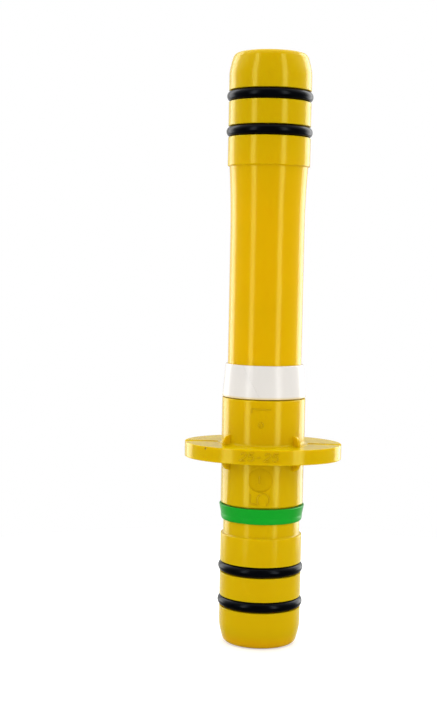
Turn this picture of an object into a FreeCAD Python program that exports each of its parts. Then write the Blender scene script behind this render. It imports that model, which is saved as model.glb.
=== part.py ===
import FreeCAD, Part
import Sketcher
import os

# O-ring insert coupling for 1 inch polyethylene pipe. One moulded body has an O-ring head at each end,
# a winged flange in the middle and two split lock rings on its necks. It stands on its short end:
# the axis is +Z, the wings lie along X and the face with the end marks looks to -Y.

doc = FreeCAD.newDocument("insert_coupling")
sheet = doc.addObject("Spreadsheet::Sheet", "Size")

# Lengths in mm. Heights are taken from the short end face.
dimensions = {
    "overall_length": 187.0,
    "bore_diameter": 17.0,
    "bore_chamfer": 0.35,
    # Heads, alike at both ends
    "head_diameter": 26.0,
    "head_length": 35.3,
    "nose_length": 7.0,
    "nose_face_diameter": 19.4,
    "nose_round_diameter": 23.9,
    "nose_round_height": 1.6,
    "nose_slope": 0.3,
    "shoulder_round": 0.3,
    "shoulder_fillet": 0.4,
    # O-rings, and the places of their grooves from the end face
    "seal_diameter": 27.13,
    "seal_section": 3.4,
    "groove_width": 3.55,
    "groove_edge_round": 0.15,
    "outer_groove": 13.5,
    "inner_groove": 24.55,
    # Necks and barrel
    "short_neck_diameter": 24.4,
    "barrel_bottom": 45.15,
    "barrel_lower_diameter": 26.3,
    "barrel_upper_diameter": 26.5,
    "barrel_top": 78.8,
    "long_neck_diameter": 23.4,
    "flare_start": 131.0,
    "flare_diameter": 24.8,
    # Oval flange, its ribs and its wings
    "flange_length": 50.0,
    "flange_width": 38.4,
    "flange_bottom": 59.5,
    "flange_thickness": 4.9,
    "flange_edge_round": 0.3,
    "root_fillet": 0.9,
    "rib_azimuth": 50.0,
    "rib_thickness": 1.1,
    "rib_reach": 15.8,
    "rib_rise": 3.1,
    "rib_edge_round": 0.25,
    "front_step": 0.2,
    "front_step_radius": 14.4,
    # Round flat that the end of a mould pin leaves on the front of the barrel
    "pin_flat_diameter": 7.5,
    "pin_flat_height": 53.9,
    "pin_flat_depth": 0.5,
    # White lock ring, on the long neck
    "white_bottom": 79.1,
    "white_height": 10.4,
    "white_bottom_diameter": 26.6,
    "white_top_diameter": 24.8,
    # Green lock ring, on the short neck
    "green_bottom": 39.8,
    "green_height": 4.95,
    "green_top_diameter": 27.2,
    "green_bottom_diameter": 26.0,
    "green_lip_width": 0.55,
    "green_lip_height": 1.9,
    # Slanted split of both lock rings
    "split_gap": 0.03,
    "split_slope": 0.57,
    "white_split_place": 3.35,
    "lock_ring_round": 0.2,
}

for row, (name, value) in enumerate(dimensions.items(), start=1):
    sheet.set(f"A{row}", name)
    sheet.set(f"B{row}", str(value))
    sheet.setAlias(f"B{row}", name)
doc.recompute()


def value_of(expression):
    return float(sheet.evalExpression(str(expression)))


def new_body(label):
    body = doc.addObject("PartDesign::Body", label)
    body.Label = label
    return body


def origin_plane(body, role):
    return [item for item in body.Origin.OriginFeatures if item.Role == role][0]


def new_sketch(body, name, plane, lift="0"):
    """Empty sketch on an origin plane of the body, lifted off it along the plane's normal."""
    sketch = body.newObject("Sketcher::SketchObject", name)
    sketch.AttachmentSupport = (origin_plane(body, plane), "")
    sketch.MapMode = "FlatFace"
    sketch.setExpression(".AttachmentOffset.Base.z", lift)
    return sketch


def hold_point(sketch, edge, end, x, y):
    """Ties one end of an edge to the place x, y, each an expression on the sheet."""
    for kind, expression, axis in (("DistanceX", x, -2), ("DistanceY", y, -1)):
        if expression == "0":
            sketch.addConstraint(Sketcher.Constraint("PointOnObject", edge, end, axis))
        else:
            distance = Sketcher.Constraint(kind, -1, 1, edge, end, value_of(expression))
            index = sketch.addConstraint(distance)
            sketch.setExpression(f"Constraints[{index}]", expression)


def add_outline(sketch, corners, bends=None):
    """Closed outline through the corners. A run in bends is a smooth curve drawn toward one
    more point, which gives its direction at both ends."""
    bends = bends or {}
    points = [FreeCAD.Vector(value_of(x), value_of(y), 0) for x, y in corners]
    edges = []
    for index, start in enumerate(points):
        end = points[(index + 1) % len(points)]
        curve = Part.LineSegment(start, end)
        if index in bends:
            x, y = bends[index]
            pull = FreeCAD.Vector(value_of(x), value_of(y), 0)
            curve = Part.BSplineCurve([start, pull, end], None, None, False, 2, None, False)
        edges.append(sketch.addGeometry(curve, False))
    for index, edge in enumerate(edges):
        sketch.addConstraint(Sketcher.Constraint("Coincident", edges[index - 1], 2, edge, 1))
        hold_point(sketch, edge, 1, *corners[index])
    for index, place in bends.items():
        poles_from = sketch.GeometryCount
        sketch.exposeInternalGeometry(edges[index])
        hold_point(sketch, poles_from + 1, 3, *place)


def add_circle(sketch, height, radius):
    """Circle with its centre on the sketch's vertical axis, its height and radius expressions."""
    middle = FreeCAD.Vector(0, value_of(height), 0)
    circle = sketch.addGeometry(Part.Circle(middle, FreeCAD.Vector(0, 0, 1), value_of(radius)), False)
    hold_point(sketch, circle, 3, "0", height)
    index = sketch.addConstraint(Sketcher.Constraint("Radius", circle, value_of(radius)))
    sketch.setExpression(f"Constraints[{index}]", radius)


def turn(body, kind, name, sketch):
    """Turns a sketch of the XZ plane right round the Z axis, as a Revolution or a Groove."""
    feature = body.newObject(f"PartDesign::{kind}", name)
    feature.Profile = sketch
    feature.ReferenceAxis = (sketch, ["V_Axis"])
    feature.Angle = 360


def cut_pocket(body, name, sketch, depth):
    """Cuts a sketch into the body on the side that the sketch's normal points to."""
    doc.recompute()
    volume_before = body.Shape.Volume
    pocket = body.newObject("PartDesign::Pocket", name)
    pocket.Profile = sketch
    pocket.Reversed = True
    pocket.setExpression("Length", depth)
    doc.recompute()
    if body.Shape.Volume >= volume_before:
        raise RuntimeError(f"{name} takes nothing away")


def is_circle(edge, radius, height):
    """Whether an edge is the circle of that radius and height, each an expression."""
    if not isinstance(edge.Curve, Part.Circle):
        return False
    same_radius = abs(edge.Curve.Radius - value_of(radius)) < 0.001
    return same_radius and abs(edge.Curve.Center.z - value_of(height)) < 0.001


def round_edges(body, name, radius, chosen, count):
    """Rounds the chosen edges of the body, and checks how many there are."""
    doc.recompute()
    base = body.Tip
    edges = [f"Edge{n}" for n, edge in enumerate(body.Shape.Edges, start=1) if chosen(edge)]
    if len(edges) != count:
        raise RuntimeError(f"{name} finds {len(edges)} edges, not {count}")
    feature = body.newObject("PartDesign::Fillet", name)
    feature.Base = (base, edges)
    feature.setExpression("Radius", radius)
    doc.recompute()


def round_circles(body, name, radius, circles):
    """Rounds the circular edges given by radius and height, each an expression on the sheet."""
    round_edges(
        body, name, radius, lambda edge: any(is_circle(edge, *circle) for circle in circles), len(circles)
    )


# Coupling body: the tube's half section turned round the axis
coupling = new_body("coupling_body")

LENGTH = "Size.overall_length"
HEAD = "Size.head_diameter / 2"
FACE_EDGE = "Size.nose_face_diameter / 2"
NOSE = "Size.nose_round_diameter / 2"
NOSE_PULL = "(Size.nose_round_diameter / 2 - Size.nose_slope * Size.nose_round_height)"
NOSE_RISE = "((Size.head_diameter - Size.nose_round_diameter) / 2 / Size.nose_slope)"
BORE = "Size.bore_diameter / 2"
MOUTH = "Size.bore_diameter / 2 + Size.bore_chamfer"
SHORT_NECK = "Size.short_neck_diameter / 2"
LOWER_BARREL = "Size.barrel_lower_diameter / 2"
UPPER_BARREL = "Size.barrel_upper_diameter / 2"
LONG_NECK = "Size.long_neck_diameter / 2"
FLARE = "Size.flare_diameter / 2"
FLARE_END = "Size.overall_length - Size.head_length"
FLANGE_MIDDLE = "Size.flange_bottom + Size.flange_thickness / 2"
FLANGE_TOP = "Size.flange_bottom + Size.flange_thickness"
FLARE_BEND = "(Size.flare_start + Size.overall_length - Size.head_length) / 2"

section = new_sketch(coupling, "tube_section", "XZ_Plane")
add_outline(
    section,
    [
        (MOUTH, "0"),
        (FACE_EDGE, "0"),
        (NOSE, "Size.nose_round_height"),
        (HEAD, "Size.nose_length"),
        (HEAD, "Size.head_length"),
        (SHORT_NECK, "Size.head_length"),
        (SHORT_NECK, "Size.barrel_bottom"),
        (LOWER_BARREL, "Size.barrel_bottom"),
        (LOWER_BARREL, FLANGE_MIDDLE),
        (UPPER_BARREL, FLANGE_MIDDLE),
        (UPPER_BARREL, "Size.barrel_top"),
        (LONG_NECK, "Size.barrel_top"),
        (LONG_NECK, "Size.flare_start"),
        (FLARE, FLARE_END),
        (HEAD, FLARE_END),
        (HEAD, LENGTH + " - Size.nose_length"),
        (NOSE, LENGTH + " - Size.nose_round_height"),
        (FACE_EDGE, LENGTH),
        (MOUTH, LENGTH),
        (BORE, LENGTH + " - Size.bore_chamfer"),
        (BORE, "Size.bore_chamfer"),
    ],
    bends={
        1: (NOSE_PULL, "0"),
        2: (HEAD, f"Size.nose_round_height + {NOSE_RISE}"),
        12: (LONG_NECK, FLARE_BEND),
        15: (HEAD, f"{LENGTH} - Size.nose_round_height - {NOSE_RISE}"),
        16: (NOSE_PULL, LENGTH),
    },
)
turn(coupling, "Revolution", "tube", section)

# Oval flange: a ring pad, open where the tube's own wall already stands
flange_plan = new_sketch(coupling, "flange_plan", "XY_Plane", "Size.flange_bottom")
tip = FreeCAD.Vector(value_of("Size.flange_length / 2"), 0, 0)
side = FreeCAD.Vector(0, value_of("Size.flange_width / 2"), 0)
oval = flange_plan.addGeometry(Part.Ellipse(tip, side, FreeCAD.Vector(0, 0, 0)), False)
flange_plan.exposeInternalGeometry(oval)
flange_plan.addConstraint(Sketcher.Constraint("Coincident", oval, 3, -1, 1))
flange_plan.addConstraint(Sketcher.Constraint("PointOnObject", oval + 1, 1, -1))
for axis_line, length in ((oval + 1, "Size.flange_length"), (oval + 2, "Size.flange_width")):
    row = flange_plan.addConstraint(Sketcher.Constraint("Distance", axis_line, value_of(length)))
    flange_plan.setExpression(f"Constraints[{row}]", length)
INSIDE_WALL = "(Size.bore_diameter + Size.barrel_lower_diameter) / 4"
add_circle(flange_plan, "0", INSIDE_WALL)
flange = coupling.newObject("PartDesign::Pad", "flange")
flange.Profile = flange_plan
flange.setExpression("Length", "Size.flange_thickness")

round_edges(
    coupling, "flange_rim", "Size.flange_edge_round", lambda edge: isinstance(edge.Curve, Part.Ellipse), 2
)
round_circles(
    coupling,
    "flange_roots",
    "Size.root_fillet",
    [(LOWER_BARREL, "Size.flange_bottom"), (UPPER_BARREL, FLANGE_TOP)],
)
round_circles(
    coupling,
    "shoulder_edges",
    "Size.shoulder_round",
    [
        (HEAD, "Size.head_length"),
        (LOWER_BARREL, "Size.barrel_bottom"),
        (UPPER_BARREL, "Size.barrel_top"),
        (HEAD, FLARE_END),
    ],
)
round_circles(
    coupling,
    "neck_corners",
    "Size.shoulder_fillet",
    [(SHORT_NECK, "Size.head_length"), (FLARE, FLARE_END)],
)

# Front half of the flange top, a little lower than the back half: the two halves of the mould. The
# step stops short of the fillet at the barrel.
front_half = new_sketch(coupling, "front_half", "XY_Plane", FLANGE_TOP + " - Size.front_step")
STEP_RADIUS = "Size.front_step_radius"
add_outline(
    front_half,
    [
        ("Size.flange_length", "0"),
        ("Size.flange_length", "-Size.flange_width"),
        ("-Size.flange_length", "-Size.flange_width"),
        ("-Size.flange_length", "0"),
        ("-" + STEP_RADIUS, "0"),
        (f"-{STEP_RADIUS} * cos(45 deg)", f"-{STEP_RADIUS} * sin(45 deg)"),
        ("0", "-" + STEP_RADIUS),
        (f"{STEP_RADIUS} * cos(45 deg)", f"-{STEP_RADIUS} * sin(45 deg)"),
        (STEP_RADIUS, "0"),
    ],
    bends={
        4: ("-" + STEP_RADIUS, f"-{STEP_RADIUS} * tan(22.5 deg)"),
        5: (f"-{STEP_RADIUS} * tan(22.5 deg)", "-" + STEP_RADIUS),
        6: (f"{STEP_RADIUS} * tan(22.5 deg)", "-" + STEP_RADIUS),
        7: (STEP_RADIUS, f"-{STEP_RADIUS} * tan(22.5 deg)"),
    },
)
cut_pocket(coupling, "front_step", front_half, "2 * Size.front_step")

# Pin flat: a round recess with a flat floor, on the front of the barrel below the flange
pin_circle = new_sketch(coupling, "pin_circle", "XZ_Plane", LOWER_BARREL + " - Size.pin_flat_depth")
add_circle(pin_circle, "Size.pin_flat_height", "Size.pin_flat_diameter / 2")
cut_pocket(coupling, "pin_flat", pin_circle, "2 * Size.pin_flat_depth")

# Ribs: four radial plates that stiffen the flange above and below, with quarter-round ends. Two are
# drawn across the axis from each other, and the other two mirror them.
rib_side = new_sketch(coupling, "rib_side", "XZ_Plane")
rib_side.setExpression(".AttachmentOffset.Rotation.Axis.y", "1")
rib_side.setExpression(".AttachmentOffset.Rotation.Axis.z", "0")
rib_side.setExpression(".AttachmentOffset.Rotation.Angle", "(90 - Size.rib_azimuth) * 1 deg")
RIB_BOTTOM = "Size.flange_bottom - Size.rib_rise"
RIB_TOP = FLANGE_TOP + " + Size.rib_rise"
for sign in ("", "-"):
    add_outline(
        rib_side,
        [
            (f"{sign}{INSIDE_WALL}", RIB_BOTTOM),
            (f"{sign}{LOWER_BARREL}", RIB_BOTTOM),
            (f"{sign}Size.rib_reach", "Size.flange_bottom"),
            (f"{sign}Size.rib_reach", FLANGE_TOP),
            (f"{sign}{UPPER_BARREL}", RIB_TOP),
            (f"{sign}{INSIDE_WALL}", RIB_TOP),
        ],
        bends={1: (f"{sign}Size.rib_reach", RIB_BOTTOM), 3: (f"{sign}Size.rib_reach", RIB_TOP)},
    )
rib_pair = coupling.newObject("PartDesign::Pad", "rib_pair")
rib_pair.Profile = rib_side
rib_pair.setExpression("Length", "Size.rib_thickness")
rib_pair.Midplane = True
ribs = coupling.newObject("PartDesign::Mirrored", "ribs")
ribs.Originals = [rib_pair]
ribs.MirrorPlane = (origin_plane(coupling, "YZ_Plane"), [""])
coupling.Tip = ribs


def is_rib_end(edge):
    """Whether an edge is a long side of a rib's quarter-round end."""
    box = edge.BoundBox
    beside_flange = box.ZMin > value_of(RIB_BOTTOM) - 0.01 and box.ZMax < value_of(RIB_TOP) + 0.01
    return isinstance(edge.Curve, Part.BSplineCurve) and beside_flange and box.ZLength > 1


round_edges(coupling, "rib_edges", "Size.rib_edge_round", is_rib_end, 16)

# O-ring grooves, cut with a rectangle for each
GROOVE_FLOOR = "Size.seal_diameter / 2 - Size.seal_section"
groove_heights = {
    "short_outer": "Size.outer_groove",
    "short_inner": "Size.inner_groove",
    "long_inner": LENGTH + " - Size.inner_groove",
    "long_outer": LENGTH + " - Size.outer_groove",
}
groove_sections = new_sketch(coupling, "groove_sections", "XZ_Plane")
for height in groove_heights.values():
    add_outline(
        groove_sections,
        [
            (GROOVE_FLOOR, height + " - Size.groove_width / 2"),
            ("Size.head_diameter", height + " - Size.groove_width / 2"),
            ("Size.head_diameter", height + " + Size.groove_width / 2"),
            (GROOVE_FLOOR, height + " + Size.groove_width / 2"),
        ],
    )
turn(coupling, "Groove", "seal_grooves", groove_sections)
groove_lips = [
    (HEAD, f"{height} {side} Size.groove_width / 2") for height in groove_heights.values() for side in "+-"
]
round_circles(coupling, "groove_lips", "Size.groove_edge_round", groove_lips)

# O-rings, each lying on its groove's floor
for place, height in groove_heights.items():
    label = "o_ring_" + place
    ring = doc.addObject("Part::Torus", label)
    ring.Label = label
    ring.setExpression("Radius1", "(Size.seal_diameter - Size.seal_section) / 2")
    ring.setExpression("Radius2", "Size.seal_section / 2")
    ring.setExpression(".Placement.Base.z", height)


def cut_split(body, name, bottom, height, place):
    """Slanted cut through the front wall of a lock ring, which lets it open to pass over a head."""
    sketch = new_sketch(body, name + "_line", "XZ_Plane")
    half = f"({height} / 2 + Size.split_gap)"
    corners = []
    for level, side in (("-", "-"), ("-", "+"), ("+", "+"), ("+", "-")):
        middle = f"{place} - ({level} Size.split_slope * {half})"
        corners.append((f"{middle} {side} Size.split_gap / 2", f"{bottom} + {height} / 2 {level} {half}"))
    add_outline(sketch, corners)
    cut_pocket(body, name, sketch, "Size.head_diameter")


# White lock ring: a slightly conical collar that grips the long neck above the barrel
white = new_body("lock_ring_white")
WHITE_TOP = "Size.white_bottom + Size.white_height"
white_section = new_sketch(white, "white_section", "XZ_Plane")
add_outline(
    white_section,
    [
        (LONG_NECK, "Size.white_bottom"),
        ("Size.white_bottom_diameter / 2", "Size.white_bottom"),
        ("Size.white_top_diameter / 2", WHITE_TOP),
        (LONG_NECK, WHITE_TOP),
    ],
)
turn(white, "Revolution", "white_collar", white_section)
round_circles(
    white,
    "white_edges",
    "Size.lock_ring_round",
    [("Size.white_bottom_diameter / 2", "Size.white_bottom"), ("Size.white_top_diameter / 2", WHITE_TOP)],
)
cut_split(white, "white_split", "Size.white_bottom", "Size.white_height", "-Size.white_split_place")

# Green lock ring: the shorter collar on the short neck, its narrow lip rounded. It is turned half
# round, so that its split is at the back.
green = new_body("lock_ring_green")
GREEN_TOP = "Size.green_bottom + Size.green_height"
green_section = new_sketch(green, "green_section", "XZ_Plane")
add_outline(
    green_section,
    [
        (SHORT_NECK, "Size.green_bottom"),
        ("Size.green_bottom_diameter / 2 - Size.green_lip_width", "Size.green_bottom"),
        ("Size.green_bottom_diameter / 2", "Size.green_bottom + Size.green_lip_height"),
        ("Size.green_top_diameter / 2", GREEN_TOP),
        (SHORT_NECK, GREEN_TOP),
    ],
    bends={1: ("Size.green_bottom_diameter / 2", "Size.green_bottom")},
)
turn(green, "Revolution", "green_collar", green_section)
round_circles(
    green, "green_edge", "Size.lock_ring_round", [("Size.green_top_diameter / 2", GREEN_TOP)]
)
cut_split(green, "green_split", "Size.green_bottom", "Size.green_height", "0")
green.Placement = FreeCAD.Placement(FreeCAD.Vector(0, 0, 0), FreeCAD.Rotation(180, 0, 0))

doc.recompute()
failed = [item.Name for item in doc.Objects if "Invalid" in item.State or "Error" in item.State]
if failed:
    raise RuntimeError(f"these objects failed: {failed}")
parts = [item for item in doc.Objects if item.TypeId in ("PartDesign::Body", "Part::Torus")]
for item in parts:
    if item.Shape.isNull() or not item.Shape.isValid() or len(item.Shape.Solids) != 1:
        raise RuntimeError(f"{item.Label} is not one valid solid")

os.makedirs("parts", exist_ok=True)
for item in parts:
    item.Shape.exportStep(f"parts/{item.Label}.step")
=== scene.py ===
import math

import bmesh
import bpy
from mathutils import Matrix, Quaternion, Vector


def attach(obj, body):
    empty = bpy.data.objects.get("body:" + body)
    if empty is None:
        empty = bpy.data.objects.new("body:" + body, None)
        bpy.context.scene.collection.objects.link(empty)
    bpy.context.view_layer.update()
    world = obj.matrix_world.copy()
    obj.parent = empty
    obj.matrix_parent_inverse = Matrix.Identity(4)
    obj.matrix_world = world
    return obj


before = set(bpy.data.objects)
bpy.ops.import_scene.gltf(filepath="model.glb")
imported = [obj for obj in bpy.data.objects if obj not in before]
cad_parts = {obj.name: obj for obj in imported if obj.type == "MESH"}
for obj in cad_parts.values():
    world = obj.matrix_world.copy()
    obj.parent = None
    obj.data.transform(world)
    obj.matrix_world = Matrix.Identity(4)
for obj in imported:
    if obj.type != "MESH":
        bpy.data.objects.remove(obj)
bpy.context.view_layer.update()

# Coupling body: one glossy yellow moulding, a tube with a sealing head at each end and an oval
# flange. Its steel mould has two halves, which leave a fine seam up the left and right sides, and a
# pin whose end leaves a round flat in front, below the flange.

MM = 0.001
coupling_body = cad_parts["coupling_body"]


class Field:
    """A value that varies over a surface. Arithmetic on fields adds the nodes that work it out."""

    def __init__(self, socket):
        self.socket = socket
        self.tree = socket.id_data

    def node(self, kind, settings=None, inputs=None, output=0):
        """Adds a node: its settings first, then the number, colour or field of each input."""
        made = self.tree.nodes.new(kind)
        for name, value in (settings or {}).items():
            if name == "stops":
                ramp = made.color_ramp.elements
                for extra in value[len(ramp):]:
                    ramp.new(extra[0])
                for (position, level), stop in zip(value, ramp):
                    stop.position = position
                    stop.color = (level, level, level, 1)
            else:
                setattr(made, name, value)
        for name, value in (inputs or {}).items():
            if isinstance(value, Field):
                self.tree.links.new(value.socket, made.inputs[name])
            else:
                made.inputs[name].default_value = value
        return Field(made.outputs[output])

    def math(self, operation, other=0.0):
        return self.node("ShaderNodeMath", {"operation": operation}, {0: self, 1: other})

    def __add__(self, other):
        return self.math("ADD", other)

    def __sub__(self, other):
        return self.math("SUBTRACT", other)

    def __rsub__(self, other):
        return self.math("MULTIPLY", -1.0).math("ADD", other)

    def __mul__(self, other):
        return self.math("MULTIPLY", other)

    def axis(self, letter):
        """One coordinate of a field of places."""
        return self.node("ShaderNodeSeparateXYZ", None, {0: self}, letter)

    def noise(self, patch, detail=2.0):
        """Cloudy pattern round 0.5 whose patches are about patch metres wide."""
        inputs = {"Vector": self, "Scale": 1 / patch, "Detail": detail}
        return self.node("ShaderNodeTexNoise", None, inputs)

    def specks(self, spacing, size):
        """1 on small round specks, one to a cell of the spacing, and 0 between them."""
        cells = self.node("ShaderNodeTexVoronoi", None, {"Vector": self, "Scale": 1 / spacing})
        return cells.falloff(0.3 * size / spacing, 0.7 * size / spacing)

    def ramp(self, stops):
        """Curve through the stops, each a value of this field and the level it gets."""
        return self.node("ShaderNodeValToRGB", {"stops": stops}, {0: self})

    def falloff(self, inner, outer):
        """1 where this field is under inner, falling smoothly to 0 at outer."""
        limits = {0: self, 1: inner, 2: outer, 3: 1.0, 4: 0.0}
        return self.node("ShaderNodeMapRange", {"interpolation_type": "SMOOTHSTEP"}, limits)

    def near(self, point, inner, outer):
        """1 within inner of a point, falling to 0 at outer."""
        distance = self.node("ShaderNodeVectorMath", {"operation": "DISTANCE"}, {0: self, 1: point}, 1)
        return distance.falloff(inner, outer)

    def mix(self, low, high):
        """Colour that runs from low to high as this field goes from 0 to 1."""
        inputs = {"Factor": self, 6: low, 7: high}
        return self.node("ShaderNodeMix", {"data_type": "RGBA"}, inputs, 2)

    def relief(self):
        """Surface normal bumped by this field, which is a height in metres."""
        return self.node("ShaderNodeBump", None, {"Strength": 1.0, "Distance": 1.0, "Height": self})


def start_finish(name):
    """New material, its shader and the field of places on the object, in metres."""
    material = bpy.data.materials.new(name)
    material.use_nodes = True
    tree = material.node_tree
    place = Field(tree.nodes.new("ShaderNodeTexCoord").outputs["Object"])
    return material, tree.nodes["Principled BSDF"], place


def feed(shader, **values):
    """Sets the named inputs of a shader, each from a field or a plain value."""
    for name, value in values.items():
        socket = shader.inputs[name.replace("_", " ")]
        if isinstance(value, Field):
            value.tree.links.new(value.socket, socket)
        else:
            socket.default_value = value


def dress(piece, material):
    """Gives a piece one material all over."""
    piece.data.materials.clear()
    piece.data.materials.append(material)


HEAD_YELLOW = (0.60, 0.385, 0.0003, 1)
LIT_NECK_YELLOW = (0.71, 0.405, 0.0002, 1)
FOOT_BOUNCE_YELLOW = (0.74, 0.34, 0.0002, 1)
CLOUD_YELLOW = (0.58, 0.355, 0.0003, 1)
SHADE_YELLOW = (0.34, 0.15, 0.001, 1)
DUST_BROWN = (0.50, 0.24, 0.01, 1)
NICK_BROWN = (0.10, 0.045, 0.01, 1)
GLOSS_TINT = (0.95, 1.0, 0.25, 1)
SHEEN_TINT = (0.9, 1.0, 0.0, 1)
SCATTER_REACH = (1.0, 0.75, 0.1)
YELLOW_IOR = 1.49
NECK_MIDDLE = 115 * MM
FLANGE_MIDDLE = 62 * MM
PIN_FLAT_OUT = 12.65 * MM
PIN_FLAT_CENTRE = (0, -PIN_FLAT_OUT, 53.9 * MM)
PIN_FLAT_RADIUS = 3.75 * MM
PIN_EDGE_WIDTH = 0.4 * MM
NICK_CENTRE = (-17.2 * MM, -13.95 * MM, 63.6 * MM)
NICK_DEPTH = 0.10 * MM
SINK_DEPTH = 0.03 * MM
GRAIN_DEPTH = 0.001 * MM
SEAM_HEIGHT = 0.006 * MM

yellow, shader, place = start_finish("yellow_moulding")
height = place.axis("Z")
# Painted light: the long neck between the heads is painted a lighter yellow, which stands in for the
# stronger light on it.
lit_neck = (height - NECK_MIDDLE).math("ABSOLUTE").falloff(20 * MM, 55 * MM)
colour = lit_neck.mix(HEAD_YELLOW, LIT_NECK_YELLOW)
clouds = place.noise(25 * MM, 3.0).falloff(0.35, 0.65)
colour = (clouds * 0.25).mix(colour, CLOUD_YELLOW)
# Painted reflection: the lowest 5 mm are painted more orange, which stands in for light bounced up from
# the table.
foot = height.falloff(0.5 * MM, 5 * MM)
colour = (foot * 0.6).mix(colour, FOOT_BOUNCE_YELLOW)
dust = place.specks(9 * MM, 0.30 * MM)
colour = (dust * 0.2).mix(colour, DUST_BROWN)
# Painted shade: the pin's flat is painted a little darker, and a ring along its edge darker still.
pin_flat = place.near(PIN_FLAT_CENTRE, PIN_FLAT_RADIUS, PIN_FLAT_RADIUS + PIN_EDGE_WIDTH)
pin_middle = place.near(PIN_FLAT_CENTRE, PIN_FLAT_RADIUS - PIN_EDGE_WIDTH, PIN_FLAT_RADIUS)
pin_edge_shade = pin_flat * (1 - pin_middle)
colour = (pin_edge_shade * 0.12 + pin_flat * 0.06).mix(colour, SHADE_YELLOW)
nick = place.near(NICK_CENTRE, 0.12 * MM, 0.45 * MM)
colour = nick.mix(colour, NICK_BROWN)
gloss = place.noise(4 * MM, 3.0) * 0.08 + 0.11
seam = place.axis("Y").math("ABSOLUTE").falloff(0.05 * MM, 0.15 * MM)
flange = (height - FLANGE_MIDDLE).math("ABSOLUTE").falloff(3 * MM, 4 * MM)
seam = seam * (1 - flange)
sink = place.noise(7 * MM, 1.0) * SINK_DEPTH
grain = place.noise(0.5 * MM, 2.0) * GRAIN_DEPTH
relief = (sink + grain + seam * SEAM_HEIGHT - nick * NICK_DEPTH).relief()
feed(shader, Base_Color=colour, Roughness=gloss, Normal=relief)
feed(shader, IOR=YELLOW_IOR, Specular_Tint=GLOSS_TINT)
feed(shader, Sheen_Weight=0.16, Sheen_Roughness=0.6, Sheen_Tint=SHEEN_TINT)
feed(shader, Subsurface_Weight=0.5, Subsurface_Radius=SCATTER_REACH, Subsurface_Scale=3 * MM)
dress(coupling_body, yellow)

# Moulded marks: a number on the barrel above and below the flange and one on its rim, a small ring
# on the upper barrel and a bar on the pin's flat. All are rounded strokes of the same plastic that
# stand a little proud, because they are cut into the mould's front half. Their flanks are painted
# darker towards the wall as painted shade, and only their crowns keep the plain yellow.

STROKE_RADIUS = 0.20 * MM
STROKE_SUNK = 0.03 * MM
STRAIGHT_STEP = 0.4 * MM
UPPER_BARREL = 13.25 * MM
LOWER_BARREL = 13.15 * MM
FLANGE_HALF_LENGTH = 25 * MM
FLANGE_HALF_WIDTH = 19.2 * MM
DIGIT_STEP = 1.02
DIGITS = {
    "2": [[(0.04, 0.76), (0.18, 0.94), (0.42, 1.0), (0.68, 0.9), (0.74, 0.7), (0.6, 0.46),
           (0, 0, True), (0.76, 0, True)]],
    "5": [[(0.72, 1, True), (0.16, 1, True), (0.08, 0.56, True), (0.36, 0.63), (0.66, 0.54),
           (0.76, 0.31), (0.62, 0.07), (0.32, 0), (0.02, 0.12)]],
    "7": [[(0, 1, True), (0.2, 1, True), (0.17, 0, True)]],
    "-": [[(0.1, 0.46, True), (0.52, 0.46, True)]],
    "o": [[(0.5 + 0.5 * math.cos(turn), 0.5 + 0.5 * math.sin(turn))
           for turn in (0, 1.26, 2.51, 3.77, 5.03, 6.28)]],
}

stroke_yellow, shader, place = start_finish("yellow_stroke")
proud = place.node("ShaderNodeAttribute", {"attribute_name": "proud"}, output="Fac")
# Painted shade: low on a stroke's flank the colour runs to SHADE_YELLOW, and the crown stays
# HEAD_YELLOW.
colour = proud.falloff(0.45, 0.95).mix(HEAD_YELLOW, SHADE_YELLOW)
gloss = place.noise(0.6 * MM) * 0.1 + 0.15
feed(shader, Base_Color=colour, Roughness=gloss, IOR=YELLOW_IOR, Specular_Tint=GLOSS_TINT)


def on_barrel(radius):
    """Lays a flat drawing on the front of a round barrel: across, out of the wall and along."""
    def bend(across, out, height):
        angle = across / radius
        return ((radius + out) * math.sin(angle), -(radius + out) * math.cos(angle), height)
    return bend


def on_pin_flat(across, out, height):
    return (across, -PIN_FLAT_OUT - out, height)


def on_flange_rim(across, out, height):
    depth = FLANGE_HALF_WIDTH * math.sqrt(1 - (across / FLANGE_HALF_LENGTH) ** 2)
    slope = (across / FLANGE_HALF_LENGTH ** 2, -depth / FLANGE_HALF_WIDTH ** 2)
    normal = Vector(slope).normalized()
    return (across + out * normal.x, -depth + out * normal.y, height)


def cut_straights(line):
    """Adds points between neighbouring corners, so that a straight can bend round the wall."""
    points = line[:1]
    for (across, height, *corner), end in zip(line, line[1:]):
        if corner and len(end) == 3:
            run = (end[0] - across, end[1] - height)
            steps = math.ceil(math.hypot(*run) / STRAIGHT_STEP)
            for step in range(1, steps):
                points.append((across + run[0] * step / steps, height + run[1] * step / steps, True))
        points.append(end)
    return points


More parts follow.
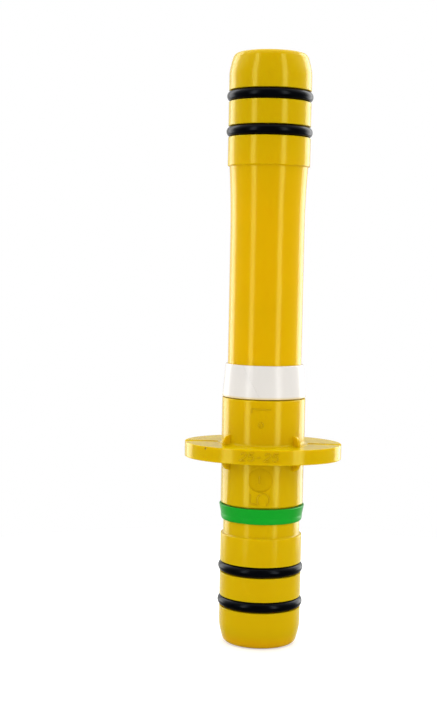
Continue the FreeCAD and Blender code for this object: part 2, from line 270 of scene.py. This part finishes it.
def raise_mark(name, lines, bend):
    """Round strokes along the lines, each a list of (across, height) points in metres, of which
    the ones that end in True are corners."""
    drawing = bpy.data.curves.new(name, "CURVE")
    drawing.dimensions = "3D"
    drawing.bevel_depth = STROKE_RADIUS
    drawing.bevel_resolution = 3
    drawing.use_fill_caps = True
    for line in lines:
        points = cut_straights(line)
        spline = drawing.splines.new("BEZIER")
        spline.resolution_u = 10
        spline.bezier_points.add(len(points) - 1)
        for (across, height, *corner), point in zip(points, spline.bezier_points):
            point.co = (across, 0, height)
            point.handle_left_type = "VECTOR" if corner else "AUTO"
            point.handle_right_type = point.handle_left_type
    helper = bpy.data.objects.new(name, drawing)
    bpy.context.scene.collection.objects.link(helper)
    bpy.context.view_layer.update()
    mesh = bpy.data.meshes.new_from_object(helper)
    bpy.data.objects.remove(helper)
    levels = mesh.attributes.new("proud", "FLOAT", "POINT")
    for vertex, level in zip(mesh.vertices, levels.data):
        across, out, height = vertex.co
        level.value = -out / STROKE_RADIUS
        vertex.co = bend(across, -out - STROKE_SUNK, height)
    mark = bpy.data.objects.new(name, mesh)
    bpy.context.scene.collection.objects.link(mark)
    mark.data.shade_smooth()
    dress(mark, stroke_yellow)
    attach(mark, "root")


def write(text, height, slant=0.0, width=1.0):
    """Lines of a number whose digits stand on the zero line, with its start at zero."""
    lines = []
    for order, digit in enumerate(text):
        start = DIGIT_STEP * order
        for line in DIGITS[digit]:
            leaning = [(start + right * width + slant * up, up, *corner) for right, up, *corner in line]
            lines.append([(right * height, up * height, *corner) for right, up, *corner in leaning])
    return lines


def move(lines, right, up):
    moved = []
    for line in lines:
        moved.append([(across + right, height + up, *corner) for across, height, *corner in line])
    return moved


def lie_down(lines):
    """Turns upright writing a quarter turn, so that its tops point to the left."""
    return [[(-height, across, *corner) for across, height, *corner in line] for line in lines]


upper_number = move(lie_down(write("7", 6.2 * MM)), 3.05 * MM, 74.95 * MM)
raise_mark("upper_barrel_number", upper_number, on_barrel(UPPER_BARREL))
lower_number = move(lie_down(write("5", 6.0 * MM, width=0.85)), 3.0 * MM, 45.85 * MM)
raise_mark("lower_barrel_number", lower_number, on_barrel(LOWER_BARREL))
gate_ring = move(write("o", 1.5 * MM), -0.81 * MM, 70.45 * MM)
raise_mark("gate_ring", gate_ring, on_barrel(UPPER_BARREL))
pin_bar = [[(-0.27 * MM, 52.8 * MM, True), (-0.27 * MM, 55.2 * MM, True)]]
raise_mark("pin_bar", pin_bar, on_pin_flat)
rim_number = move(write("25-25", 2.45 * MM, slant=0.16), -6.3 * MM, 60.75 * MM)
raise_mark("flange_rim_number", rim_number, on_flange_rim)

# O-rings: four seals of moulded nitrile rubber, two to a head, with a thin bloom and a little lint.
# They are greased and stretched over the heads into their grooves.

RUBBER_BLACK = (0.0006, 0.0007, 0.0012, 1)
BLOOM_BLACK = (0.0012, 0.0013, 0.0022, 1)
LINT_GREY = (0.08, 0.08, 0.09, 1)
GREASE_TINT = (0.75, 0.85, 1.0, 1)

black, shader, place = start_finish("seal_rubber")
bare = place.noise(2.5 * MM, 4.0).falloff(0.40, 0.62)
colour = bare.mix(BLOOM_BLACK, RUBBER_BLACK)
lint = place.specks(3 * MM, 0.12 * MM)
colour = (lint * 0.5).mix(colour, LINT_GREY)
gloss = place.noise(1.2 * MM, 3.0) * 0.16 + 0.16
relief = (place.noise(0.8 * MM, 3.0) * (0.01 * MM)).relief()
feed(shader, Base_Color=colour, Roughness=gloss, Normal=relief)
feed(shader, IOR=1.22, Specular_Tint=GREASE_TINT)
for name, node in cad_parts.items():
    if name.startswith("o_ring"):
        dress(node, black)

# Lock rings: a split white collar and a split green collar, moulded in acetal with a satin face and
# snapped on the necks against the barrel. The foot of the white one is painted yellow, a painted
# reflection of the yellow barrel's light on it.

WHITE = (0.725, 0.69, 0.645, 1)
CLOUD_WHITE = (0.705, 0.675, 0.635, 1)
BARREL_BOUNCE_YELLOW = (0.72, 0.52, 0.10, 1)
WHITE_FOOT = 79.2 * MM
GREEN = (0.004, 0.335, 0.016, 1)
CLOUD_GREEN = (0.004, 0.31, 0.015, 1)
GREEN_TINT = (0.3, 1.0, 0.4, 1)


def collar_colour(place, plain, clouded):
    """Colour that changes slightly in broad clouds."""
    return place.noise(12 * MM, 3.0).falloff(0.35, 0.65).mix(plain, clouded)


def collar_relief(place, patch, depth):
    """Soft waves of the given patch and depth in metres, with a fine grain on them."""
    grain = place.noise(0.5 * MM, 2.0) * (0.002 * MM)
    return (place.noise(patch, 1.0) * depth + grain).relief()


white, shader, place = start_finish("white_collar")
# Painted reflection: the lowest 0.8 mm of the white collar are mixed towards the barrel's yellow.
barrel_bounce = place.axis("Z").falloff(WHITE_FOOT, WHITE_FOOT + 0.8 * MM)
colour = (barrel_bounce * 0.7).mix(collar_colour(place, WHITE, CLOUD_WHITE), BARREL_BOUNCE_YELLOW)
gloss = place.noise(3 * MM, 3.0) * 0.08 + 0.20
relief = collar_relief(place, 9 * MM, 0.008 * MM)
feed(shader, Base_Color=colour, Roughness=gloss, Normal=relief, IOR=1.52)
dress(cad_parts["lock_ring_white"], white)

green, shader, place = start_finish("green_collar")
colour = collar_colour(place, GREEN, CLOUD_GREEN)
gloss = place.noise(3 * MM, 3.0) * 0.1 + 0.3
relief = collar_relief(place, 6 * MM, 0.015 * MM)
feed(shader, Base_Color=colour, Roughness=gloss, Normal=relief, IOR=1.38, Specular_Tint=GREEN_TINT)
dress(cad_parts["lock_ring_green"], green)

# Table: a small round top covered with white paper, on which the coupling stands on its short end.
# It belongs to the picture alone. The paper glows a little to the camera, to come out white.

TABLE_RADIUS = 0.19
PAPER_GLOW = 0.40
PAPER = (0.68, 0.68, 0.68, 1)
PALE_PAPER = (0.70, 0.70, 0.70, 1)
NO_GLOW = (0, 0, 0, 1)
FULL_GLOW = (1, 1, 1, 1)

table_mesh = bmesh.new()
bmesh.ops.create_circle(table_mesh, cap_ends=True, segments=128, radius=TABLE_RADIUS)
table_data = bpy.data.meshes.new("table")
table_mesh.to_mesh(table_data)
table = bpy.data.objects.new("table", table_data)
bpy.context.scene.collection.objects.link(table)
paper, shader, place = start_finish("white_paper")
seen = place.node("ShaderNodeLightPath", output="Is Camera Ray")
glow = (seen * PAPER_GLOW).mix(NO_GLOW, FULL_GLOW)
fibre = place.noise(0.4 * MM, 3.0).mix(PAPER, PALE_PAPER)
feed(shader, Base_Color=fibre, Roughness=0.6, Emission_Color=glow, Emission_Strength=1.0)
dress(table, paper)
table.visible_glossy = False

# Room: a white studio, plain white to the camera. Glossy faces mirror it bright behind the object
# and dark in front and below, and its soft light comes mostly from both sides behind the object.

AHEAD = (-0.079, 0.997, 0)
MIRROR_STOPS = [(0, 0.1), (0.1, 0.2), (0.25, 0.35), (0.5, 0.75), (0.65, 1)]
SOFT_STOPS = [(0, 0.2), (0.35, 0.35), (0.5, 0.6), (0.65, 0.9), (0.85, 0.9), (1, 0.15)]
SOFT_LEVEL = 2.15
LIGHT_FROM_RIGHT = 0.08
LIGHT_FROM_ABOVE = 0.3

world = bpy.data.worlds.new("studio")
bpy.context.scene.world = world
world.use_nodes = True
background = world.node_tree.nodes["Background"]
way = Field(world.node_tree.nodes.new("ShaderNodeTexCoord").outputs["Generated"])
seen = way.node("ShaderNodeLightPath", output="Is Camera Ray")
clear = way.node("ShaderNodeLightPath", output="Is Transmission Ray")
mirrored = way.node("ShaderNodeLightPath", output="Is Glossy Ray")
forward = way.node("ShaderNodeVectorMath", {"operation": "DOT_PRODUCT"}, {0: way, 1: AHEAD}, 1)
mirror = (forward + way.axis("Z")).ramp(MIRROR_STOPS)
mirror = mirror * (forward.falloff(0.95, 0.99) * 0.5 + 0.5)
soft = (forward * 0.5 + 0.5).ramp(SOFT_STOPS) * SOFT_LEVEL
soft = soft + way.axis("X") * LIGHT_FROM_RIGHT + way.axis("Z") * LIGHT_FROM_ABOVE
white_room = seen.math("MAXIMUM", clear)
strength = mirrored * mirror + (1 - mirrored) * (white_room + (1 - white_room) * soft)
world.node_tree.links.new(strength.socket, background.inputs["Strength"])
background.inputs["Color"].default_value = (1, 1, 1, 1)

# Lamps: four upright strips of light round the object, two in front and two behind. The two behind
# give only the long highlights near the rims.

LAMP_DISTANCE = 0.8
LAMP_HEIGHT = 0.38
LAMP_LENGTH = 1.0


def strip_lamp(name, azimuth, width, watts):
    """Upright lamp that faces the object, its azimuth in degrees from the front to the right."""
    angle = math.radians(azimuth)
    lamp = bpy.data.lights.new(name, "AREA")
    lamp.shape = "RECTANGLE"
    lamp.size = width
    lamp.size_y = LAMP_LENGTH
    lamp.energy = watts
    piece = bpy.data.objects.new(name, lamp)
    bpy.context.scene.collection.objects.link(piece)
    piece.location = (LAMP_DISTANCE * math.sin(angle), -LAMP_DISTANCE * math.cos(angle), LAMP_HEIGHT)
    piece.rotation_euler = (math.pi / 2, 0, angle)
    return piece


strip_lamp("left_strip", -41.4, 0.196, 2.3)
strip_lamp("right_strip", 43.6, 0.196, 2.4)
left_card = strip_lamp("left_card", -125.0, 0.38, 3.2)
right_card = strip_lamp("right_card", 136.5, 0.474, 4.3)
left_card.visible_diffuse = False
right_card.visible_diffuse = False

# Camera: 0.45 m in front of the marked face and a little to its right, somewhat above the middle of
# the coupling. It looks slightly down and to the left, and is rolled by about a degree.

CAMERA_PLACE = (20.6 * MM, -444.5 * MM, 121.5 * MM)
CAMERA_HEADING = (-0.0793, 0.9969)
CAMERA_PITCH = math.radians(3.886)
CAMERA_ROLL = math.radians(1.109)

camera_data = bpy.data.cameras.new("camera")
camera_data.sensor_fit = "VERTICAL"
camera_data.sensor_height = 36
camera_data.lens = 70.59
camera = bpy.data.objects.new("camera", camera_data)
bpy.context.scene.collection.objects.link(camera)
bpy.context.scene.camera = camera
camera.location = CAMERA_PLACE
level = math.cos(CAMERA_PITCH)
look = Vector((CAMERA_HEADING[0] * level, CAMERA_HEADING[1] * level, -math.sin(CAMERA_PITCH)))
camera.rotation_mode = "QUATERNION"
camera.rotation_quaternion = look.to_track_quat("-Z", "Y") @ Quaternion((0, 0, 1), CAMERA_ROLL)
bpy.context.scene.view_settings.view_transform = "Standard"
